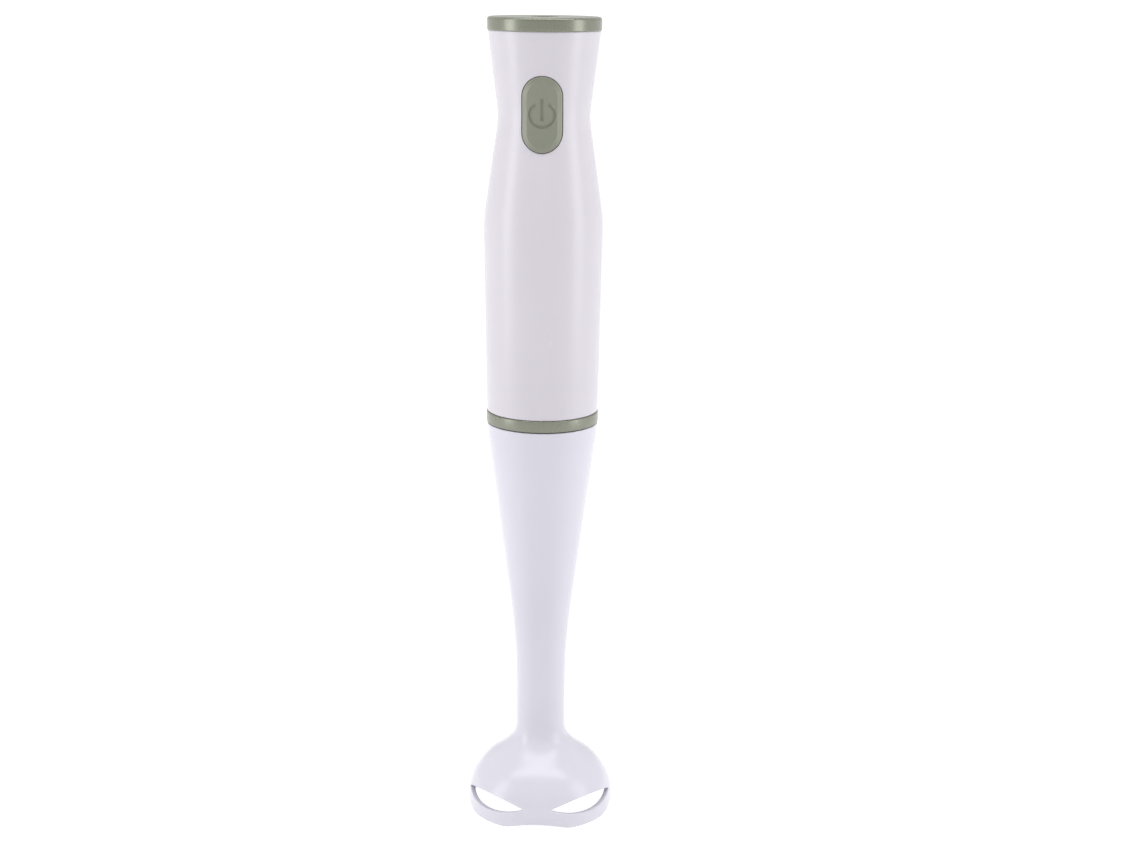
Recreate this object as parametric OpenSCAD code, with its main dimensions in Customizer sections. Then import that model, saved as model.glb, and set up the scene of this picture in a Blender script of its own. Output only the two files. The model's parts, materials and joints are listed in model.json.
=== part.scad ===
// Immersion blender: a motor housing and a twist-off blending leg with a slotted bell.
// Millimetres. Z runs up the axis, the button faces -Y, the bell stands on Z = 0.

/* [Housing] */
// Wall thickness of the housing and the leg
wall = 2.3; // [1.8:0.1:3]
// Radius of the cap on top of the housing
cap_r = 25.8; // [25.4:0.1:27]
// Radius of the ring between the housing and the leg
ring_r = 26.2; // [25.6:0.1:27]
// Radius of the cord bore in the gland
cord_r = 3.3; // [2.5:0.1:4]
// Number of cooling slots at the back
vent_count = 7; // [3:1:9]

/* [Button] */
// Width of the button
button_w = 18; // [14:0.5:20]
// Height of the button
button_h = 33.5; // [26:0.5:34]
// Gap between the button and the housing
button_gap = 0.3; // [0.3:0.05:0.6]
// How far the button stands proud of the housing
button_rise = 1.1; // [0.6:0.1:1.4]
// Depth of the engraved power symbol
symbol_depth = 0.35; // [0.2:0.05:0.6]

/* [Bell and blade] */
// Outer radius of the bell
bell_r = 34.5; // [33:0.5:36]
// Height of each slot at its middle
slot_h = 7.7; // [6:0.1:8]
// Height of the arch under each pillar of the bell
arch_h = 3; // [1:0.5:4]
// Radius that the blade tips sweep
blade_r = 21.5; // [18:0.5:24]
// Thickness of the blade
blade_t = 1.3; // [1:0.1:2]
// Tilt of the blade wings in degrees
blade_tilt = 16; // [0:1:20]

/* [Drive] */
// Radius of the drive shaft in the leg
drive_r = 3; // [2.5:0.1:3.5]
// Radius of the motor shaft
motor_shaft_r = 2.5; // [2:0.1:3]
// Radial clearance of the turning fits
running = 0.05; // [0.02:0.01:0.1]
// Twist from locked to free, in degrees
twist = 35; // [25:1:40]

/* [Hidden] */
$fn = 64;

// Outer profiles as [height, radius] stations, joined by a smooth curve.
housing_line = [[200.1, 25.38], [215, 25.65], [241, 26.03], [266, 26.55], [280, 26.85],
    [287.5, 26.85], [291.3, 26.68], [296.8, 26], [307.7, 24.45], [318.6, 22.82], [329.4, 21.3],
    [333, 20.87], [336.2, 20.7], [339.5, 20.9], [343, 21.32], [358.8, 23.25], [374, 25.05]];
leg_line = [[42, 11.2], [50, 11.17], [60, 11.23], [70, 11.4], [79, 11.65], [87, 12.2],
    [95, 12.87], [104, 13.86], [120, 15.83], [140, 18.4], [160, 20.9], [178, 23.2],
    [186, 24.4], [190.5, 25.15], [193.7, 25.44]];
// The dome of the bell, its radius as a share of the way from the neck to the rim.
neck_r = 11.2;
dome_line = [for (s = [[7, 1], [10.7, 0.972], [15.6, 0.899], [19.6, 0.785], [23, 0.644],
    [25.9, 0.489], [28.5, 0.335], [31.1, 0.199], [33.7, 0.0944], [35.6, 0.0472],
    [37.5, 0.0236], [39.6, 0.0086], [42, 0]]) [s[0], neck_r + s[1] * (bell_r - neck_r)]];

// Heights along the axis
housing_bottom = 200.1;
housing_top = 374;
total_h = 380;
leg_bottom = 42;
leg_top = 193.7;
ring_bottom = 194.1;
ring_top = 199.5;
button_z = 338;
button_back = -13.5;
blade_z = 10.2;
slot_tip_z = 10.3;
bulkhead_z = 218;
board_z = 305;
board_t = 1.6;
clamp_z = 359;
clamp_h = 7;

// Motor
can_r = 19;
can_wall = 1.2;
can_bottom = 222;
can_top = 272;
bearing_top = 226;
magnet_out = can_r - can_wall;
armature_r = 14;
core_bottom = 236;
core_top = 260;
commutator_r = 6;
brush_z = 275.5;
brush_h = 3.2;
brush_w = 4;
brush_l = 8;
cap_plate = 282;
mount_h = 7;
mount_zs = [228, 262];
seat_r = 21.5;
shaft_bottom = 204;
shaft_top = 300;
fan_z = 292.5;
fan_r = 16.5;

// Twist lock
spigot_r = 19.4;
lug_r = 21.2;
lug_z = 200.2;
lug_h = 3.2;
lug_half = 9;
insert_r = 23;
insert_top = 207.8;

// Ribs inside the housing as [bottom, top, inner radius]
ribs = [[insert_top + 0.2, 209.2, 20], [bulkhead_z, bulkhead_z + 2, 7.5],
    [mount_zs[0], mount_zs[0] + mount_h, seat_r], [mount_zs[1], mount_zs[1] + mount_h, seat_r],
    [board_z - 2, board_z, 19.2], [board_z + board_t, board_z + board_t + 2, 19.2]];

// Screws as [x, z]
screw_r = 1.5;
screw_spots = [[-13.5, 354], [13.5, 354], [-16.5, 213], [16.5, 213]];
boss_r = 4.2;
screw_head_r = 2.6;
clamp_screw_x = 8.5;

far = 60;
eps = 0.5;

// Smooth curve through the stations of a profile
function rise(p, i) = (p[i + 1][1] - p[i][1]) / (p[i + 1][0] - p[i][0]);
function slope(p, i) =
    i == 0 ? rise(p, 0)
    : i == len(p) - 1 ? rise(p, i - 1)
    : (rise(p, i - 1) + rise(p, i)) / 2;
function station(p, z) = max([for (i = [0:len(p) - 2]) if (z >= p[i][0] || i == 0) i]);
function blend(p, i, h, t) =
    (2 * t ^ 3 - 3 * t ^ 2 + 1) * p[i][1] + (t ^ 3 - 2 * t ^ 2 + t) * h * slope(p, i)
    + (3 * t ^ 2 - 2 * t ^ 3) * p[i + 1][1] + (t ^ 3 - t ^ 2) * h * slope(p, i + 1);
function radius_at(p, z) =
    let (i = station(p, z), h = p[i + 1][0] - p[i][0])
    blend(p, i, h, (z - p[i][0]) / h);
function tilt_at(p, z) = (radius_at(p, z + 0.1) - radius_at(p, z - 0.1)) / 0.2;
// Points of the profile from z0 to z1, moved in by inset along the radius
function line(p, z0, z1, n, inset = 0) =
    [for (k = [0:n]) let (z = z0 + (z1 - z0) * k / n) [radius_at(p, z) - inset, z]];
// Points moved in by inset square to the wall
function inner_line(p, z0, z1, n, inset) =
    [for (k = [0:n]) let (z = z0 + (z1 - z0) * k / n, s = tilt_at(p, z), q = sqrt(1 + s * s))
        [radius_at(p, z) - inset / q, z + s * inset / q]];
function reversed(v) = [for (i = [len(v) - 1:-1:0]) v[i]];
function housing_r(z) = radius_at(housing_line, z);
function leg_r(z) = radius_at(leg_line, z);

// A solid of the housing's outline between two heights, moved in by inset
module housing_solid(z0, z1, inset, n = 12) {
    rotate_extrude()
        polygon(concat([[0, z0]], line(housing_line, z0, z1, n, inset), [[0, z1]]));
}

module tube(r_out, r_in, z0, z1) {
    difference() {
        translate([0, 0, z0])
            cylinder(r = r_out, h = z1 - z0);
        translate([0, 0, z0 - eps])
            cylinder(r = r_in, h = z1 - z0 + 2 * eps);
    }
}

module rod(r, z0, z1) {
    translate([0, 0, z0])
        cylinder(r = r, h = z1 - z0);
}

// A cylinder along Y
module rod_y(r, x, z, y0, y1) {
    translate([x, y1, z])
        rotate([90, 0, 0])
            cylinder(r = r, h = y1 - y0);
}

module box(x0, x1, y0, y1, z0, z1) {
    translate([x0, y0, z0])
        cube([x1 - x0, y1 - y0, z1 - z0]);
}

// An upright outline with round ends
module obround(w, h) {
    square([w, h - w], center = true);
    for (s = [-1, 1])
        translate([0, s * (h - w) / 2])
            circle(d = w);
}

// Extrudes an outline along Y at the button's height
module along_y(y0, y1) {
    translate([0, y1, button_z])
        rotate([90, 0, 0])
            linear_extrude(y1 - y0)
                children();
}

// A sector of a ring between two angles
module sector(r_out, r_in, z0, z1, a0, a1) {
    rotate([0, 0, a0])
        rotate_extrude(angle = a1 - a0)
            translate([r_in, z0])
                square([r_out - r_in, z1 - z0]);
}

// Eight-sided wire through points, with a fixed sideways reference
module wire(points, r, side) {
    sides = 8;
    n = len(points);
    rings = [for (i = [0:n - 1])
        let (d = points[min(i + 1, n - 1)] - points[max(i - 1, 0)], t = d / norm(d),
            u0 = cross(side, t), u = u0 / norm(u0), v = cross(t, u))
        for (k = [0:sides - 1])
            points[i] + r * (cos(360 * k / sides) * u + sin(360 * k / sides) * v)];
    walls = [for (i = [0:n - 2]) for (k = [0:sides - 1])
        let (a = i * sides + k, b = i * sides + (k + 1) % sides)
        each [[a, a + sides, b], [b, a + sides, b + sides]]];
    start = [[for (k = [0:sides - 1]) k]];
    finish = [[for (k = [sides - 1:-1:0]) (n - 1) * sides + k]];
    polyhedron(rings, concat(walls, start, finish));
}

// Points of a cubic curve from a to d
function bent(a, b, c, d, n = 14) =
    [for (i = [0:n]) let (t = i / n)
        (1 - t) ^ 3 * a + 3 * (1 - t) ^ 2 * t * b + 3 * (1 - t) * t ^ 2 * c + t ^ 3 * d];

// Inner line of the housing wall from z upwards, with a step for each rib
function ribbed(z = housing_bottom, i = 0) =
    i == len(ribs) ? line(housing_line, z, housing_top, 14, wall)
    : concat(line(housing_line, z, ribs[i][0], 4, wall),
        [[ribs[i][2], ribs[i][0]], [ribs[i][2], ribs[i][1]]], ribbed(ribs[i][1], i + 1));

// Half of the housing on the +Y side, hollow except for ribs, screw bosses and children
module housing_half() {
    edge = 0.6;
    outer = line(housing_line, housing_bottom, housing_top, 72);
    foot = [[outer[0][0] - edge, housing_bottom], [outer[0][0], housing_bottom + edge]];
    rest = [for (i = [1:len(outer) - 1]) outer[i]];
    inner = ribbed();
    difference() {
        rotate_extrude(angle = 180)
            polygon(concat([[0, housing_bottom]], foot, rest, [[0, housing_top]]));
        difference() {
            rotate_extrude()
                polygon(concat([[0, housing_bottom - 1], [inner[0][0], housing_bottom - 1]],
                    inner, [[inner[len(inner) - 1][0], housing_top + 1], [0, housing_top + 1]]));
            for (s = screw_spots)
                rod_y(boss_r, s[0], s[1], -1, 30);
            children();
        }
    }
}

module front_shell() {
    color("#d9d4dd")
        difference() {
            rotate([0, 0, 180])
                housing_half();
            along_y(-far, -12)
                obround(button_w + 2 * button_gap, button_h + 2 * button_gap);
            for (s = screw_spots)
                rod_y(screw_r + 0.02, s[0], s[1], -11, 1);
        }
}

module rear_shell() {
    head_y = 8;
    color("#d9d4dd")
        difference() {
            housing_half()
                box(-12, 12, -1, 30, clamp_z, clamp_z + clamp_h);
            for (s = screw_spots) {
                rod_y(screw_r + 0.2, s[0], s[1], -1, far);
                rod_y(screw_head_r + 0.2, s[0], s[1], head_y, far);
            }
            rod(cord_r, clamp_z - 1, clamp_z + clamp_h + 1);
            for (s = [-1, 1])
                rod_y(1.27, s * clamp_screw_x, clamp_z + clamp_h / 2, -1, 9);
            for (i = [0:vent_count - 1])
                vent(280.5 + 2.9 * i);
        }
}

// One cooling slot at the back, with round ends
module vent(z) {
    half_w = 9;
    slot_r = 0.75;
    box(-half_w, half_w, 15, far, z - slot_r, z + slot_r);
    for (s = [-1, 1])
        rod_y(slot_r, s * half_w, z, 15, far);
}

module top_cap() {
    lip = 1.2;
    plug_r = housing_r(368) - wall - 0.1;
    color("#85887a")
        difference() {
            rotate_extrude()
                polygon([[0, 368], [plug_r - 0.8, 368], [plug_r, 369], [plug_r, housing_top],
                    [cap_r - 0.5, housing_top], [cap_r, housing_top + 0.5],
                    [cap_r, total_h - lip], [cap_r - 0.16, total_h - 0.6],
                    [cap_r - 0.5, total_h - 0.2], [cap_r - lip, total_h], [0, total_h]]);
            rod(plug_r - 2.2, 367, total_h - 3.4);
            rod(5, 370, total_h + 1);
            rod(6.6, total_h - 1.2, total_h + 1);
        }
}

module cord_gland() {
    color("#3a3c3a")
        difference() {
            union() {
                rod(4.95, 371, total_h - 0.4);
                rod(7.6, total_h - 5.4, total_h - 3.4);
                rod(6.5, total_h - 1.2, total_h - 0.3);
            }
            rod(cord_r, 370, total_h + 1);
        }
}

module cord_clamp() {
    color("#44464a")
        difference() {
            box(-12, 12, -5.5, -0.4, clamp_z, clamp_z + clamp_h);
            rod(cord_r, clamp_z - 1, clamp_z + clamp_h + 1);
            for (s = [-1, 1])
                rod_y(1.5, s * clamp_screw_x, clamp_z + clamp_h / 2, -7, 1);
        }
}

module clamp_screws() {
    color("#b8bcc0")
        for (s = [-1, 1])
            cross_screw(s * clamp_screw_x, clamp_z + clamp_h / 2, -5.5, 8, 1.25, 2.4);
}

// A cross-head screw along Y whose head sits on y = seat and faces -Y
module cross_screw(x, z, seat, length, r, head_r) {
    head_h = head_r * 0.7;
    difference() {
        union() {
            rod_y(r, x, z, seat - 0.2, seat + length);
            rod_y(head_r, x, z, seat - head_h, seat);
        }
        for (a = [0, 90])
            translate([x, seat - head_h, z])
                rotate([0, a, 0])
                    cube([head_r * 1.2, head_r * 0.8, head_r * 0.3], center = true);
    }
}

module shell_screws() {
    color("#b8bcc0")
        for (s = screw_spots)
            rotate([0, 0, 180])
                cross_screw(-s[0], s[1], -8, 18, screw_r, screw_head_r);
}

module joint_ring() {
    edge = 0.6;
    color("#888a7c")
        rotate_extrude()
            polygon([[insert_r + 0.05, ring_bottom], [ring_r - edge, ring_bottom],
                [ring_r, ring_bottom + edge], [ring_r, ring_top - edge],
                [ring_r - edge, ring_top], [insert_r + 0.05, ring_top]]);
}

module bayonet_insert() {
    slot_half = lug_half + 1.2;
    entry_half = slot_half + 0.6;
    color("#c9c6cd")
        difference() {
            union() {
                tube(insert_r, spigot_r + running, ring_bottom, insert_top);
                tube(24.5, 22, ring_top, housing_bottom);
            }
            for (i = [0:2])
                rotate([0, 0, 120 * i]) {
                    sector(lug_r + 0.4, 18, lug_z - 0.4, lug_z + lug_h + 0.4,
                        -slot_half, twist + slot_half);
                    sector(lug_r + 0.5, 17, ring_bottom - 1, lug_z + lug_h / 2,
                        twist - entry_half, twist + entry_half);
                }
        }
}

module leg_collar() {
    plug_r = 21.95;
    web_top = 188.5;
    color("#c9c6cd")
        union() {
            rotate_extrude()
                polygon([[drive_r + 3.02, 180], [8.5, 180], [8.5, 186], [plug_r, 186],
                    [plug_r, leg_top], [spigot_r, leg_top], [spigot_r, 206],
                    [spigot_r - 0.6, 206.6], [17.4, 206.6], [17.4, web_top],
                    [drive_r + 3.02, web_top]]);
            for (i = [0:2])
                rotate([0, 0, 120 * i])
                    sector(lug_r, 18.4, lug_z, lug_z + lug_h, -lug_half, lug_half);
        }
}

module switch_body() {
    color("#2b2c30")
        difference() {
            box(-3.2, 3.2, -9, 1.2, 328, 348);
            rod_y(1.65, 0, button_z, -10, -4);
            for (z = [331, 345])
                translate([-4, -4, z])
                    rotate([0, 90, 0])
                        cylinder(r = 1.1, h = 8);
        }
}

module switch_plunger() {
    color("#b0413a")
        rod_y(1.65 - running, 0, button_z, button_back + 0.1, -6.8);
}

module switch_terminals() {
    color("#c9a45a")
        for (z = [330.5, 338, 345.5])
            difference() {
                box(-1.6, 1.6, 1.2, 8, z - 0.25, z + 0.25);
                translate([0, 6.3, z - 1])
                    cylinder(r = 0.7, h = 2);
            }
}

module switch_bracket() {
    color("#5c5f63")
        difference() {
            intersection() {
                union() {
                    box(-20, 20, 1.2, 3.2, 326.5, 349.5);
                    for (s = [-1, 1])
                        box(s * 4.1 - 0.9, s * 4.1 + 0.9, -6, 3.2, 326.5, 349.5);
                }
                housing_solid(325, 351, wall + 0.05, 10);
            }
            for (z = [330.5, 338, 345.5])
                box(-1.9, 1.9, 0, 4, z - 0.5, z + 0.5);
        }
}

module control_board() {
    color("#2f6b45")
        difference() {
            rod(20.5, board_z, board_z + board_t);
            for (s = [-1, 1])
                translate([s * 16, 0, board_z - 1])
                    cylinder(r = 1.3, h = 4);
        }
}

module bridge_rectifier() {
    color("#1f2023") {
        box(-14, -2, 5, 10, board_z + board_t + 1.5, board_z + board_t + 11);
        for (i = [0:3])
            box(-12.6 + 3 * i, -11.8 + 3 * i, 7.1, 7.9, board_z + board_t, board_z + board_t + 2);
    }
}

module suppression_capacitor() {
    color("#c9a227")
        box(-7, 9, -13, -6, board_z + board_t, board_z + board_t + 10.5);
}

module chokes() {
    color("#8a4b2a")
        for (s = [-1, 1])
            translate([s * 11.5, s > 0 ? 3 : -1, board_z + board_t]) {
                cylinder(r = 2.1, h = 12);
                for (k = [0:6])
                    translate([0, 0, 1.6 + 1.4 * k])
                        rotate_extrude()
                            translate([2.1, 0])
                                circle(r = 0.6, $fn = 24);
            }
}

module switch_leads() {
    color("#2f4f9a")
        for (s = [-1, 1])
            wire(bent([0, 8.4, button_z - s * 7.5], [s * 1.5, 16, button_z - s * 7.5],
                [s * 3 + 4, 13, 325], [s * 3 + 4, 13, board_z + board_t + 0.1]), 0.9, [1, 0, 0]);
}

module motor_leads() {
    color("#a33030")
        for (s = [-1, 1])
            wire(bent([s * 16, 0, board_z + board_t], [s * 16, 0, 300],
                [s * 26, 0, 286], [s * 18, 0, brush_z + 0.4]), 0.8, [0, 1, 0]);
}

module motor_can() {
    color("#a9adb1")
        difference() {
            union() {
                rod(can_r, can_bottom, can_top);
                rod(7, bulkhead_z + 2, can_bottom + 1);
            }
            difference() {
                rod(can_r - can_wall, can_bottom + can_wall, can_top + 1);
                rod(7, can_bottom, bearing_top + 0.5);
            }
            rod(5.5, bulkhead_z + 3, bearing_top + 1);
            rod(motor_shaft_r + 0.8, bulkhead_z, can_bottom);
            for (s = [0, 180])
                rotate([0, 0, s])
                    box(-5, 5, 10, 25, can_bottom + 16, can_top - 16);
        }
}

module lower_bearing() {
    color("#c2a063")
        tube(5.45, motor_shaft_r + running, bulkhead_z + 3, bearing_top);
}

module upper_bearing() {
    color("#c2a063")
        tube(5.45, motor_shaft_r + running, cap_plate + 2.6, cap_plate + 7.4);
}

module motor_end_cap() {
    holder_z = brush_z + brush_h / 2 + 1;
    color("#34363a")
        difference() {
            union() {
                rod(can_r, can_top, cap_plate + 2);
                rod(7.5, cap_plate, cap_plate + 8.4);
            }
            difference() {
                rod(17.6, can_top - 1, cap_plate);
                for (s = [-1, 1])
                    box(s * 13 - 5, s * 13 + 5, -4.5, 4.5, holder_z, cap_plate + 1);
            }
            rod(motor_shaft_r + 0.8, can_top, cap_plate + 10);
            rod(5.5, cap_plate + 2.6, cap_plate + 9);
            for (s = [-1, 1])
                box(s * 18 - 2, s * 18 + 2, -3, 3, can_top - 1, cap_plate - 0.6);
            for (a = [45:90:315])
                rotate([0, 0, a])
                    translate([12.8, 0, cap_plate - 1])
                        cylinder(r = 3.2, h = 4);
        }
}

module magnets() {
    color("#55504c")
        for (a = [0, 180])
            sector(magnet_out, armature_r + 0.6, core_bottom - 3, core_top + 3, a - 62, a + 62);
}

module brush_holders() {
    color("#c9a45a")
        for (a = [0, 180])
            rotate([0, 0, a])
                difference() {
                    box(7.6, 17, -2.9, 2.9, brush_z - 2.5, brush_z + brush_h / 2 + 1);
                    box(7, 16.4, -brush_w / 2 - 0.05, brush_w / 2 + 0.05,
                        brush_z - brush_h / 2 - 0.05, brush_z + brush_h / 2 + 0.05);
                }
}

module carbon_brushes() {
    color("#262626")
        difference() {
            for (s = [0, 180])
                rotate([0, 0, s])
                    box(5, 5 + brush_l, -brush_w / 2, brush_w / 2,
                        brush_z - brush_h / 2, brush_z + brush_h / 2);
            rod(commutator_r + running, brush_z - 5, brush_z + 5);
        }
}

module brush_springs() {
    turns = 4;
    length = 2.7;
    steps = 12 * turns;
    color("#b8bcc0")
        for (a = [0, 180])
            rotate([0, 0, a])
                wire([for (i = [0:steps]) [5 + brush_l + 0.3 + length * i / steps,
                    1.1 * cos(30 * i), brush_z + 1.1 * sin(30 * i)]], 0.2, [1, 0, 0]);
}

module motor_mounts() {
    color("#2c2d2e")
        for (z = mount_zs)
            difference() {
                tube(seat_r - 0.05, can_r + 0.03, z, z + mount_h);
                for (a = [22.5:45:359])
                    rotate([0, 0, a])
                        box(can_r + 1, 25, -2, 2, z - 1, z + mount_h + 1);
            }
}

// Twelve-slot armature stack
module armature_core() {
    color("#8c8f94")
        rod_with_slots(armature_r, motor_shaft_r, 5, core_bottom, core_top);
}

module rod_with_slots(r, bore, depth, z0, z1) {
    translate([0, 0, z0])
        linear_extrude(z1 - z0)
            difference() {
                circle(r = r);
                circle(r = bore);
                for (a = [0:30:330])
                    rotate(a) {
                        translate([r - 1.2, -0.7])
                            square([3, 1.4]);
                        translate([r - depth / 2 - 0.9, 0])
                            circle(r = depth / 2 - 0.8, $fn = 24);
                    }
            }
}

module armature_windings() {
    slot_mid = armature_r - 5 / 2 - 0.9;
    color("#b5652b")
        union() {
            for (z = [[core_bottom - 5.5, core_bottom], [core_top, core_top + 5.5]])
                rotate_extrude()
                    polygon([[3.6, z[0]], [11, z[0]], [12.6, z[0] + 1.6], [12.6, z[1] - 1.4],
                        [12, z[1]], [3.6, z[1]]]);
            for (a = [0:30:330])
                rotate([0, 0, a])
                    translate([slot_mid, 0, core_bottom - 1])
                        cylinder(r = 1.55, h = core_top - core_bottom + 2);
        }
}

module commutator() {
    bars = 12;
    color("#b87333")
        translate([0, 0, core_top + 8])
            linear_extrude(12)
                difference() {
                    circle(r = commutator_r);
                    circle(r = motor_shaft_r);
                    for (i = [0:bars - 1])
                        rotate(360 * i / bars)
                            translate([commutator_r - 0.7, -0.25])
                                square([2, 0.5]);
                }
}

module rotor_shaft() {
    color("#aeb2b8")
        rod(motor_shaft_r, shaft_bottom, shaft_top);
}

module cooling_fan() {
    fins = 11;
    color("#e8e6e0")
        difference() {
            union() {
                rod(fan_r, fan_z, fan_z + 1.2);
                rod(4.5, fan_z, fan_z + 6.5);
                translate([0, 0, fan_z + 1])
                    linear_extrude(5)
                        for (i = [0:fins - 1])
                            rotate(360 * i / fins)
                                translate([6.5, 1])
                                    rotate(20)
                                        square([8.6, 1]);
            }
            rod(motor_shaft_r, fan_z - 1, fan_z + 8);
        }
}

module drive_dog() {
    color("#d8d5cf")
        difference() {
            union() {
                rod(4.5, 199.8, 212);
                rod(7.2, 211, 216.8);
                for (a = [0:90:270])
                    rotate([0, 0, a])
                        box(3, 6.2, -1, 1, 199.8, 212);
            }
            rod(motor_shaft_r, shaft_bottom, 218);
        }
}

module drive_socket() {
    color("#3b3d42")
        difference() {
            union() {
                rod(9.4, 196.5, 210);
                rod(6.2, 190.6, 197);
            }
            rod(4.9, 199.2, 211);
            for (a = [0:90:270])
                rotate([0, 0, a])
                    box(3, 6.6, -1.4, 1.4, 199.2, 211);
            rod(drive_r, 189, 198);
        }
}

module drive_shaft() {
    groove_z = 178.4;
    color("#b9bdc2")
        difference() {
            rod(drive_r, 8, 198);
            tube(drive_r + 1, drive_r - 0.5, groove_z, groove_z + 0.9);
        }
}

module retaining_clip() {
    color("#8f9398")
        difference() {
            tube(5, drive_r - 0.48, 178.45, 179.25);
            box(0, 8, -1.6, 1.6, 177, 181);
        }
}

module thrust_washer() {
    color("#d6d0c0")
        tube(5.6, drive_r + 0.02, 188.9, 190.3);
}

module upper_bush() {
    color("#b98a4a")
        tube(drive_r + 3, drive_r + running, 180, 188.5);
}

module middle_bush() {
    z0 = 108;
    z1 = 113;
    color("#e4e1da")
        difference() {
            translate([0, 0, z0])
                cylinder(r1 = leg_r(z0) - wall - 0.05, r2 = leg_r(z1) - wall - 0.05, h = z1 - z0);
            rod(drive_r + running, z0 - 1, z1 + 1);
            for (a = [0:120:240])
                rotate([0, 0, a])
                    translate([8, 0, z0 - 1])
                        cylinder(r = 2.4, h = z1 - z0 + 2);
        }
}

module lower_bush() {
    color("#b98a4a")
        tube(5.47, drive_r + running, 27, 39);
}

module shaft_seal() {
    color("#232425")
        rotate_extrude()
            polygon([[drive_r + running, 22.4], [drive_r + 0.9, 22], [6.37, 22], [6.37, 26.6],
                [4.6, 26.6], [4.4, 24], [drive_r + running, 23.4]]);
}

module seal_retainer() {
    color("#c4c8cc")
        tube(6.37, 4.6, 20.6, 22);
}

module blade_hub() {
    color("#c4c8cc")
        difference() {
            rotate_extrude()
                polygon([[0, 7], [2.6, 7], [3.9, 8], [4.3, 9.2], [4.3, blade_z], [0, blade_z]]);
            rod(drive_r, 8, 12);
        }
    color("#c4c8cc")
        tube(5.4, drive_r, blade_z + blade_t, 19.6);
}

module blade() {
    color("#c8ccd1")
        difference() {
            union() {
                rod(6.2, blade_z, blade_z + blade_t);
                blade_wing(blade_tilt);
                rotate([0, 0, 180])
                    blade_wing(-blade_tilt / 2);
            }
            rod(drive_r, blade_z - 1, blade_z + 3);
        }
}

// One wing along +X, its outline drawn from the side and cut to shape from above
module blade_wing(tilt) {
    bend_x = 8;
    drop = (blade_r - bend_x) * tan(tilt);
    intersection() {
        translate([0, 10, blade_z])
            rotate([90, 0, 0])
                linear_extrude(20)
                    polygon([[3, 0], [bend_x, 0], [blade_r, drop], [blade_r, drop + blade_t],
                        [bend_x, blade_t], [3, blade_t]]);
        translate([0, 0, blade_z - 10])
            linear_extrude(20)
                polygon([[3, -3.6], [blade_r - 3.6, -3.2], [blade_r - 0.6, -1.2],
                    [blade_r - 1.4, 2.2], [14, 4.4], [3, 3.6]]);
    }
}

module leg_shell() {
    counter_z = 185.9;
    color("#dcd9e2")
        rotate_extrude()
            polygon(concat(line(leg_line, leg_bottom, leg_top - 0.5, 60),
                [[leg_r(leg_top) - 0.5, leg_top], [22, leg_top], [22, counter_z]],
                reversed(line(leg_line, leg_bottom, counter_z, 24, wall))));
}

module bell_guard() {
    roof_z = 32.6;
    outer = line(dome_line, 7, leg_bottom, 40);
    inner = inner_line(dome_line, 7, roof_z, 24, wall);
    in_r = inner[0][0];
    color("#dcd9e2")
        difference() {
            rotate_extrude()
                polygon(concat([[in_r + 0.5, 0], [bell_r - 0.7, 0], [bell_r - 0.2, 0.3],
                    [bell_r, 0.9]], outer,
                    [[neck_r - wall, leg_bottom], [neck_r - wall, 39], [5.5, 39], [5.5, 26.6],
                    [6.4, 26.6], [6.4, 20.6], [9, 20.6], [9.6, 21.4]],
                    [[9.6, inner[len(inner) - 1][1]]], reversed(inner), [[in_r, 0.5]]));
            for (i = [0:3])
                rotate([0, 0, 45 + 90 * i])
                    bell_slot();
            for (i = [0:3])
                rotate([0, 0, 90 * i])
                    bell_arch();
        }
}

// Lens-shaped slot through the wall on the -Y side
module bell_slot() {
    half_w = 18.5 * bell_r / 34.5;
    up = slot_h * 0.48;
    down = slot_h - up;
    r_up = (half_w ^ 2 + up ^ 2) / (2 * up);
    r_down = (half_w ^ 2 + down ^ 2) / (2 * down);
    translate([0, -16, slot_tip_z])
        rotate([90, 0, 0])
            linear_extrude(far)
                intersection() {
                    translate([0, up - r_up])
                        circle(r = r_up);
                    translate([0, r_down - down])
                        circle(r = r_down);
                }
}

// Shallow arch in the rim on the -Y side
module bell_arch() {
    half_w = 15;
    r = (half_w ^ 2 + arch_h ^ 2) / (2 * arch_h);
    rod_y(r, 0, arch_h - r, -far, -16);
}

// The button follows the housing, and a flat flange holds it behind the opening
module button() {
    steps = [[0, 0.45], [0.8, 0.85], [1.7, button_rise]];
    z0 = button_z - 22;
    z1 = button_z + 22;
    skirt = 2;
    flange = 1.2;
    post = 2.3;
    front_y = -far / 2;
    color("#838679")
        difference() {
            union() {
                for (i = [0:2])
                    intersection() {
                        along_y(front_y, button_back - i)
                            obround(button_w - 2 * steps[i][0], button_h - 2 * steps[i][0]);
                        housing_solid(z0 - i, z1 + i, -steps[i][1], 18);
                    }
                along_y(button_back - flange, button_back)
                    obround(button_w + 2 * flange, button_h + 2 * flange);
            }
            difference() {
                intersection() {
                    along_y(front_y, button_back + 1)
                        obround(button_w - 2 * skirt, button_h - 2 * skirt);
                    housing_solid(z0 - 4, z1 + 4, 1.2, 12);
                }
                box(-post, post, front_y, button_back + 2, button_z - post, button_z + post);
            }
            difference() {
                power_symbol();
                housing_solid(z0 - 5, z1 + 5, symbol_depth - button_rise, 18);
            }
        }
}

// Broken ring and bar of the standby symbol
module power_symbol() {
    ring_out = 6;
    stroke = 1.3;
    gap = 32;
    along_y(-far / 2, -16) {
        difference() {
            circle(r = ring_out);
            circle(r = ring_out - stroke);
            polygon([[0, 0], [-far * tan(gap), far], [far * tan(gap), far]]);
        }
        translate([-stroke / 2, -2.5])
            square([stroke, 9.5]);
    }
}

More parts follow.
